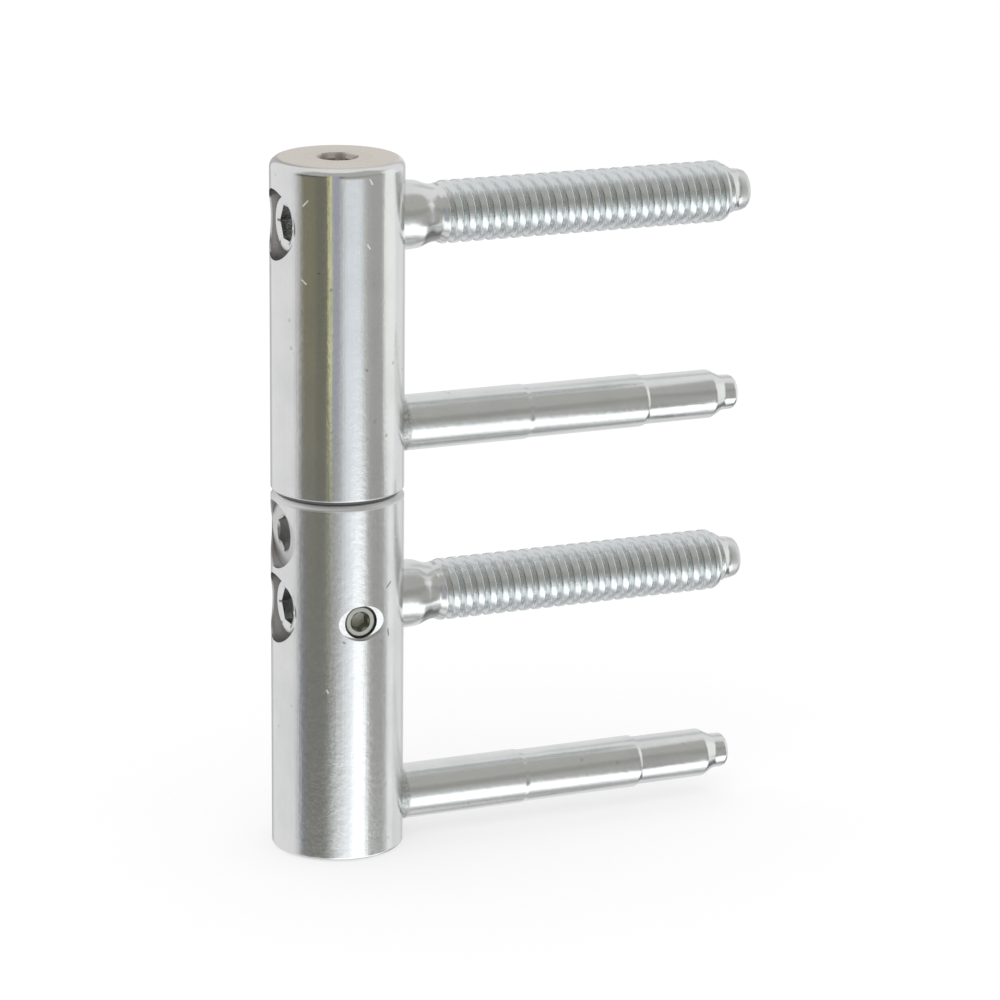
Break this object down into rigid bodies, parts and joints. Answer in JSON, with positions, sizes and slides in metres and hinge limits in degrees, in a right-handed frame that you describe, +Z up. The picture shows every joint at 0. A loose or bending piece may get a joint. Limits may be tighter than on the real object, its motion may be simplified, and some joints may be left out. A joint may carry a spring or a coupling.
{
  "type": "adjustable drill-in hinge",
  "caption": "Round barrel hinge in zinc-plated steel with threaded and plain drill-in pins, key-adjusted in reach and height.",
  "frame": {"origin": "on the hinge axis, at the lower end face of the lower barrel", "axes": "+Z up the hinge axis, +X out along the drill-in pins, -Y towards the side of the front lock screw"},
  "size_m": [0.0763, 0.02, 0.106],
  "materials": {
    "zinc_barrel": "bright zinc plate, satin",
    "zinc_pin": "bright zinc plate over a drawn or rolled surface",
    "zinc_screw": "zinc plate",
    "hardened_steel": "ground and oiled",
    "brass_pad": "turned",
    "acetal_bush": "turned black acetal"
  },
  "bodies": {
    "frame_half": {"lower_barrel": "zinc_barrel", "lower_plain_pin": "zinc_pin", "eccentric_stop_pin": "hardened_steel"},
    "frame_adjuster": {"lower_threaded_pin": "zinc_pin"},
    "front_pad": {"front_lock_pad": "brass_pad"},
    "front_screw": {"front_lock_screw": "zinc_screw"},
    "eccentric": {"height_eccentric": "zinc_screw"},
    "lift_pin": {"hinge_pin": "hardened_steel"},
    "bush": {"bearing_bush": "acetal_bush"},
    "door_half": {"upper_barrel": "zinc_barrel", "upper_plain_pin": "zinc_pin", "thrust_disc": "hardened_steel"},
    "door_adjuster": {"upper_threaded_pin": "zinc_pin"},
    "top_pad": {"top_lock_pad": "brass_pad"},
    "top_screw": {"top_lock_screw": "zinc_screw"}
  },
  "joints": [
    {"name": "height_lift", "type": "slide", "parent": "frame_half", "child": "lift_pin", "axis": [0, 0, 1], "range_m": [0, 0.0021]},
    {"name": "eccentric_turn", "type": "hinge", "parent": "frame_half", "child": "eccentric", "pos_m": [-0.007, 0, 0.0495], "axis": [1, 0, 0], "range_deg": [0, 90]},
    {"name": "lift_off", "type": "slide", "parent": "lift_pin", "child": "bush", "axis": [0, 0, 1], "range_m": [0, 0.04]},
    {"name": "door_swing", "type": "hinge", "parent": "bush", "child": "door_half", "pos_m": [0, 0, 0.07], "axis": [0, 0, 1], "continuous": true},
    {"name": "frame_adjuster_turn", "type": "hinge", "parent": "frame_half", "child": "frame_adjuster", "pos_m": [0, 0, 0.03805], "axis": [1, 0, 0], "continuous": true},
    {"name": "door_adjuster_turn", "type": "hinge", "parent": "door_half", "child": "door_adjuster", "pos_m": [0, 0, 0.0966], "axis": [1, 0, 0], "continuous": true},
    {"name": "front_pad_travel", "type": "slide", "parent": "frame_half", "child": "front_pad", "axis": [0, -1, 0], "range_m": [0, 0.00079]},
    {"name": "front_screw_turn", "type": "hinge", "parent": "front_pad", "child": "front_screw", "pos_m": [0.0003, -0.0075, 0.0373], "axis": [0, -1, 0], "range_deg": [0, 359]},
    {"name": "top_pad_travel", "type": "slide", "parent": "door_half", "child": "top_pad", "axis": [0, 0, 1], "range_m": [0, 0.00099]},
    {"name": "top_screw_turn", "type": "hinge", "parent": "top_pad", "child": "top_screw", "pos_m": [0, 0, 0.1045], "axis": [0, 0, 1], "range_deg": [0, 359]}
  ],
  "couplings": [
    {"joint": "eccentric_turn", "follows": "height_lift", "rad_per_m": 740.4},
    {"joint": "front_screw_turn", "follows": "front_pad_travel", "rad_per_m": 7854},
    {"joint": "top_screw_turn", "follows": "top_pad_travel", "rad_per_m": 6283.2}
  ]
}
